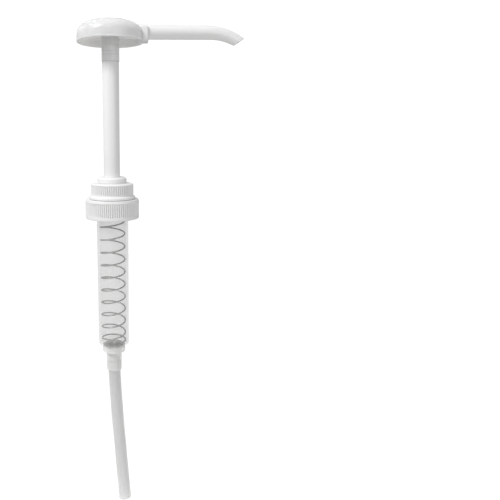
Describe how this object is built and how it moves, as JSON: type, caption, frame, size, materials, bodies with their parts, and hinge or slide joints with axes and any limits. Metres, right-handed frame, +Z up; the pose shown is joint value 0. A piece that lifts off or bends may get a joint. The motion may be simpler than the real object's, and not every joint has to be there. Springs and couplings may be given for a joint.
{
  "type": "condiment pump dispenser",
  "caption": "Long-stroke condiment pump for a gallon jug: domed palm cap, bent spout, stem, ribbed screw cap, clear barrel with return spring, and dip tube.",
  "frame": {"origin": "on the pump's axis, in the plane of the jug's rim, where the jug gasket's underside seals", "axes": "+Z up along the plunger's axis, +X along the spout as stored"},
  "size_m": [0.1237, 0.0498, 0.3967],
  "materials": {
    "white_gloss": "moulded, glossy",
    "white_ribbed": "moulded, satin, ribbed",
    "clear_plastic": "translucent, natural polypropylene",
    "milky_tube": "translucent, extruded",
    "seal_rubber": "smooth, soft",
    "spring_steel": "drawn stainless wire",
    "white_acetal": "turned or moulded"
  },
  "bodies": {
    "pump_body": {"pump_barrel": "clear_plastic", "jug_gasket": "seal_rubber", "barrel_gasket": "seal_rubber", "guide_nut": "white_ribbed", "shaft_bushing": "white_ribbed", "stem_wiper": "seal_rubber", "inlet_housing": "clear_plastic", "ball_cage": "white_acetal", "dip_tube": "milky_tube", "return_spring": "spring_steel"},
    "screw_cap": {"jug_cap": "white_ribbed"},
    "inlet_check": {"inlet_ball": "white_acetal"},
    "spring_carrier": {"spring_follower": "white_acetal"},
    "plunger": {"pump_stem": "white_gloss", "piston": "white_acetal", "piston_seal": "seal_rubber", "outlet_seat": "white_acetal", "ball_stop": "white_acetal", "up_stop": "white_acetal", "hub_seal": "seal_rubber", "nozzle": "white_gloss", "palm_cap": "white_gloss"},
    "outlet_check": {"outlet_ball": "white_acetal"}
  },
  "joints": [
    {"name": "plunger_stroke", "type": "slide", "parent": "pump_body", "child": "spring_carrier", "axis": [0, 0, -1], "range_m": [0, 0.0845], "stiffness_N_per_m": 200, "springref_m": -0.02, "deforming": ["return_spring"]},
    {"name": "plunger_swivel", "type": "hinge", "parent": "spring_carrier", "child": "plunger", "pos_m": [0, 0, 0], "axis": [0, 0, 1], "continuous": true},
    {"name": "cap_spin", "type": "hinge", "parent": "pump_body", "child": "screw_cap", "pos_m": [0, 0, 0], "axis": [0, 0, 1], "continuous": true},
    {"name": "inlet_ball_lift", "type": "slide", "parent": "pump_body", "child": "inlet_check", "axis": [0, 0, 1], "range_m": [0, 0.003]},
    {"name": "outlet_ball_lift", "type": "slide", "parent": "plunger", "child": "outlet_check", "axis": [0, 0, 1], "range_m": [0, 0.003]}
  ]
}
